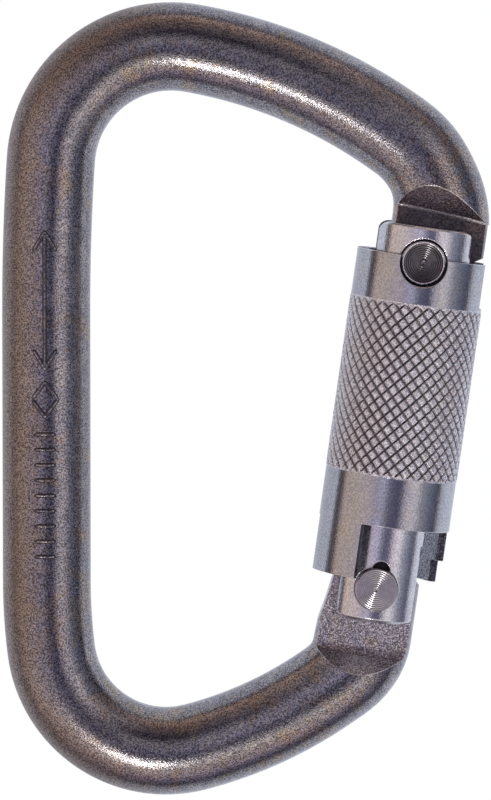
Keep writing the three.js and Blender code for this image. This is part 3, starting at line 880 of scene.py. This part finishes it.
def make_skirt():
    """The plain lower end of the sleeve with its lobes."""
    skirt = turned("skirt", [
        (SLEEVE_BORE, LOBE_END), (SLEEVE_R, LOBE_END), (SLEEVE_R, KNURL_FROM + KNURL_LAP),
        (SLEEVE_BORE, KNURL_FROM + KNURL_LAP)], 144)
    skirt.data.materials.append(SLEEVE_STEEL)
    boolean(skirt, [sector(low, high, LOBE_END - 1, top) for low, high, top in WINDOWS])
    # painted shade on the window walls; the bore then gets its own steel
    paint_faces(skirt, CUT_SHADE_STEEL, within(SLEEVE_R - 0.15))
    paint_faces(skirt, BORE_STEEL, within(SLEEVE_BORE + 0.1))
    return skirt


def make_collar():
    """The plain upper end of the sleeve with the pin notches and the exit slot."""
    collar = turned("collar", [
        (SLEEVE_BORE, KNURL_TO - KNURL_LAP), (SLEEVE_R, KNURL_TO - KNURL_LAP), (SLEEVE_R, SLEEVE_TOP),
        (SLEEVE_BORE, SLEEVE_TOP)], 144)
    tools = [rod(NOTCH_R, LATCH_S, -FAR, FAR, 96),
             block((0, FAR), (EXIT_FROM, SLEEVE_TOP + 1), (-EXIT_HALF, EXIT_HALF))]
    collar.data.materials.append(SLEEVE_STEEL)
    boolean(collar, tools)
    # painted shade on the notch and slot walls and the bore
    paint_faces(collar, CUT_SHADE_STEEL, within(SLEEVE_R - 0.15))
    return collar


def groove(phase, half):
    """0 at the bottom of a groove and 1 from its edge on, where the land is."""
    off = abs(phase - round(phase))
    return min(off / half, 1.0)


def knurl_height(a, b, s):
    """0 on the plain sleeve; the lands stand a little above it and the grooves go below."""
    cut = max(THIN_DEPTH * (1 - groove(a, THIN_GROOVE)), WIDE_DEPTH * (1 - groove(b, WIDE_GROOVE)))
    middle = 4 * (0.5 - abs(a - math.floor(a) - 0.5)) * (0.5 - abs(b - math.floor(b) - 0.5))
    fade = max(min(1.0, (s - KNURL_FROM) / KNURL_FADE, (KNURL_TO - s) / KNURL_FADE), 0.0)
    return fade * (KNURL_R - SLEEVE_R - cut - KNURL_CROWN * (1 - middle))


def groove_steps(half, land):
    """Where the lattice lines of one period run: in the groove, along its sides and over the land."""
    return [0, half * 0.5, half, land, 0.5, 1 - land, 1 - half, 1 - half * 0.5]


def knurl_lattice():
    """The band as a skin whose edges run down the middle and along the sides of every groove."""
    steps_a = groove_steps(THIN_GROOVE, THIN_LAND)
    steps_b = groove_steps(WIDE_GROOVE, WIDE_LAND)
    per = len(steps_a)
    wrap = KNURL_STARTS * per
    climbs = (KNURL_TO - KNURL_FROM) / KNURL_AXIAL
    verts, index, faces = [], {}, []

    def vertex(i, j):
        turns = i // wrap
        key = (i - turns * wrap, j + turns * wrap)
        if key not in index:
            a = key[0] // per + steps_a[key[0] % per]
            b = key[1] // per + steps_b[key[1] % per]
            s = KNURL_FROM + KNURL_AXIAL * (a + b) / 2
            angle = math.pi * (b - a) / KNURL_STARTS
            r = SLEEVE_R + knurl_height(a, b, s)
            index[key] = len(verts)
            verts.append((r * math.sin(angle), s, r * math.cos(angle)))
        return index[key]

    for i in range(wrap):
        low = -i - 2 * per
        high = round(2 * climbs * per) - i + 2 * per
        for j in range(low, high):
            faces.append((vertex(i, j), vertex(i + 1, j), vertex(i + 1, j + 1), vertex(i, j + 1)))
    return from_faces("knurl", verts, faces)


def make_knurl():
    """The knurled band with the sleeve's bore and flange inside, as one closed skin."""
    lattice = knurl_lattice()
    bm = bmesh.new()
    bm.from_mesh(lattice.data)
    bpy.data.objects.remove(lattice)
    for s, side in ((KNURL_FROM, -1), (KNURL_TO, 1)):
        everything = bm.verts[:] + bm.edges[:] + bm.faces[:]
        bmesh.ops.bisect_plane(bm, geom=everything, plane_co=(0, s, 0), plane_no=(0, side, 0),
                               clear_outer=True)
    for end, flange in ((KNURL_FROM, FLANGE[0]), (KNURL_TO, FLANGE[1])):
        rim = [e for e in bm.edges if e.is_boundary and abs(e.verts[0].co.y - end) < 0.01]
        for r, s in ((SLEEVE_BORE, end), (SLEEVE_BORE, flange), (FLANGE_BORE, flange)):
            ring = bmesh.ops.extrude_edge_only(bm, edges=rim)["geom"]
            rim = [g for g in ring if isinstance(g, bmesh.types.BMEdge)]
            for vert in {v for edge in rim for v in edge.verts}:
                across = math.hypot(vert.co.x, vert.co.z)
                vert.co = (vert.co.x * r / across, s, vert.co.z * r / across)
    loose = [e for e in bm.edges if e.is_boundary]
    bmesh.ops.bridge_loops(bm, edges=loose)
    knurl = from_faces("knurl", *fixed_order(bm))
    bm.free()
    knurl.data.materials.append(KNURL_STEEL)
    # painted shade in the grooves, darker in the thin ones
    paint_faces(knurl, WIDE_GROOVE_SHADE, within(KNURL_R - WIDE_SHOWN))
    paint_faces(knurl, THIN_GROOVE_SHADE, within(KNURL_R - THIN_SHOWN))
    # painted shade on the bore and the flanges inside
    paint_faces(knurl, CUT_SHADE_STEEL, within(SLEEVE_BORE + 0.6))
    return knurl


def make_sleeve():
    sleeve = join([make_skirt(), make_collar(), make_knurl()], "sleeve")
    radii = (SLEEVE_R, SLEEVE_BORE)
    return finish_piece(sleeve, "lock_sleeve_knurled", "sleeve", ["lock_sleeve"], 24, radii)


# ---- Studio ----
SKY_ACROSS = [  # zenith angle towards +X in degrees, colour
    (-90, (0.26, 0.22, 0.22)), (-88, (0.32, 0.26, 0.25)), (-85, (0.70, 0.56, 0.51)),
    (-57, (0.68, 0.59, 0.57)), (-34, (0.67, 0.57, 0.63)), (-27, (0.54, 0.49, 0.58)),
    (-14, (0.62, 0.59, 0.78)), (-3, (0.52, 0.52, 0.72)), (4, (0.22, 0.22, 0.34)),
    (12, (0.13, 0.13, 0.22)), (20, (0.13, 0.12, 0.20)), (26, (0.62, 0.57, 0.66)),
    (40, (0.92, 0.86, 0.92)), (50, (0.82, 0.78, 0.86)), (60, (0.38, 0.39, 0.48)),
    (76, (0.19, 0.21, 0.29)), (90, (0.13, 0.15, 0.24)),
]
SKY_ALONG = [  # zenith angle towards +Y in degrees, colour
    (-90, (0.16, 0.16, 0.25)), (-80, (0.28, 0.25, 0.34)), (-70, (0.48, 0.41, 0.51)),
    (-58, (0.80, 0.66, 0.66)), (-47, (0.76, 0.65, 0.62)), (-35, (1.35, 1.27, 1.20)),
    (-25, (0.64, 0.60, 0.64)), (-20, (0.34, 0.33, 0.38)), (-12, (0.12, 0.11, 0.17)),
    (2, (0.22, 0.20, 0.25)), (13, (0.38, 0.36, 0.42)), (27, (0.34, 0.32, 0.37)),
    (35, (0.04, 0.03, 0.06)), (42, (0.06, 0.05, 0.07)), (50, (0.15, 0.13, 0.15)),
    (63, (0.22, 0.17, 0.17)), (77, (0.42, 0.29, 0.24)), (90, (0.92, 0.72, 0.66)),
]
BACKDROP = (1.0, 1.0, 1.0)
FLOOR_LIGHT = (0.76, 0.80, 0.93)
FLOOR_FAR = (0.14, 0.13, 0.16)
FLOOR_MIDDLE = (0.60, 0.62, 0.72)  # the part's own shade
FLOOR_FADE, MIDDLE_FADE = (0.06, 0.16), (0.015, 0.05)  # from and to, in m from the middle
FLOOR_HALF, FLOOR_DROP = 1.5, 0.0005
LAMP_SIZE, LAMP_POWER, LAMP_AWAY = 0.07, 0.2, 0.5
LAMP_ZENITH, LAMP_AZIMUTH = 36, -104
CAMERA_AWAY, CAMERA_LEAN = 0.8, 3.8
PICTURE_HEIGHT, SENSOR = 0.1154, 36


def sky_ramp(n, angle, table):
    """A zenith angle's colour from one of the tables."""
    place = n.span(angle, -math.pi / 2, math.pi / 2, 0, 1)
    return n.ramp(place, [((degrees + 90) / 180, color) for degrees, color in table])


def make_sky():
    """Big soft cards overhead: a warm wall, a dark gap and two windows, laid out by direction."""
    world = bpy.data.worlds.new("studio")
    bpy.context.scene.world = world
    n = fresh_nodes(world)
    toward = n.add("ShaderNodeTexCoord").outputs["Generated"]
    axes = n.add("ShaderNodeSeparateXYZ", {0: toward}).outputs
    across = sky_ramp(n, n.math("ARCTAN2", axes[0], axes[2]), SKY_ACROSS)
    along = sky_ramp(n, n.math("ARCTAN2", axes[1], axes[2]), SKY_ALONG)
    x2 = n.math("MULTIPLY", axes[0], axes[0])
    y2 = n.math("MULTIPLY", axes[1], axes[1])
    share = n.math("DIVIDE", y2, n.math("ADD", n.math("ADD", x2, y2), 1e-5))
    seen = n.add("ShaderNodeLightPath").outputs["Is Camera Ray"]
    sky = n.mix(seen, n.mix(share, across, along), BACKDROP)
    light = n.add("ShaderNodeBackground", {"Color": sky, "Strength": 1.0})
    n.add("ShaderNodeOutputWorld", {"Surface": light.outputs[0]})


def make_floor():
    """A pale sheet that glows evenly; the part sees it fade away from the set."""
    corners = [(x * FLOOR_HALF, y * FLOOR_HALF, 0) for x, y in ((-1, -1), (1, -1), (1, 1), (-1, 1))]
    floor = from_faces("floor", corners, [(0, 1, 2, 3)])
    floor.location.z = -FLOOR_DROP
    material = bpy.data.materials.new("pale_floor")
    n = fresh_nodes(material)
    place = n.add("ShaderNodeTexCoord").outputs["Object"]
    reach = n.vector("DISTANCE", place, (0, 0, 0))
    light = n.mix(n.span(reach, *FLOOR_FADE, 0, 1), FLOOR_LIGHT, FLOOR_FAR)
    light = n.mix(n.span(reach, *MIDDLE_FADE, 1, 0), light, FLOOR_MIDDLE)
    seen = n.add("ShaderNodeLightPath").outputs["Is Camera Ray"]
    glow = n.add("ShaderNodeEmission", {"Color": n.mix(seen, light, BACKDROP), "Strength": 1.0})
    n.add("ShaderNodeOutputMaterial", {"Surface": glow.outputs[0]})
    floor.data.materials.append(material)


def make_lamp():
    """A small lamp over the foot end, which draws the streaks on the turned rivets."""
    data = bpy.data.lights.new("lamp", "AREA")
    data.shape = "DISK"
    data.size = LAMP_SIZE
    data.energy = LAMP_POWER
    lamp = bpy.data.objects.new("lamp", data)
    bpy.context.scene.collection.objects.link(lamp)
    zenith, azimuth = math.radians(LAMP_ZENITH), math.radians(LAMP_AZIMUTH)
    reach = math.sin(zenith)
    away = Vector((reach * math.cos(azimuth), reach * math.sin(azimuth), math.cos(zenith)))
    lamp.location = away * LAMP_AWAY
    lamp.rotation_euler = away.to_track_quat("Z", "Y").to_euler()


def make_camera():
    """Overhead, a little towards the nose end, as far away as a small product is shot from."""
    data = bpy.data.cameras.new("camera")
    camera = bpy.data.objects.new("camera", data)
    bpy.context.scene.collection.objects.link(camera)
    lean = math.radians(CAMERA_LEAN)
    camera.location = (0, CAMERA_AWAY * math.sin(lean), HINGE.z + CAMERA_AWAY * math.cos(lean))
    camera.rotation_euler = (-lean, 0, 0)
    data.sensor_width = SENSOR
    data.lens = SENSOR * CAMERA_AWAY / PICTURE_HEIGHT
    bpy.context.scene.camera = camera
    bpy.context.scene.view_settings.view_transform = "Standard"


def dress_cad_nodes():
    """The pieces inside the sleeve and the gate keep their CAD shapes and get their steel."""
    for name, material in (("gate_plunger", PIN_STEEL), ("gate_spring", SPRING_STEEL),
                           ("sleeve_spring", SPRING_STEEL), ("thrust_washer", SPRING_STEEL),
                           ("seat_ring", SPRING_STEEL)):
        for slot in frame["nodes"][name].material_slots:
            slot.material = material


make_camera()
make_sky()
make_floor()
make_lamp()
make_bar()
make_marks()
make_gate()
make_hinge_pin()
make_latch_pin()
make_sleeve()
dress_cad_nodes()
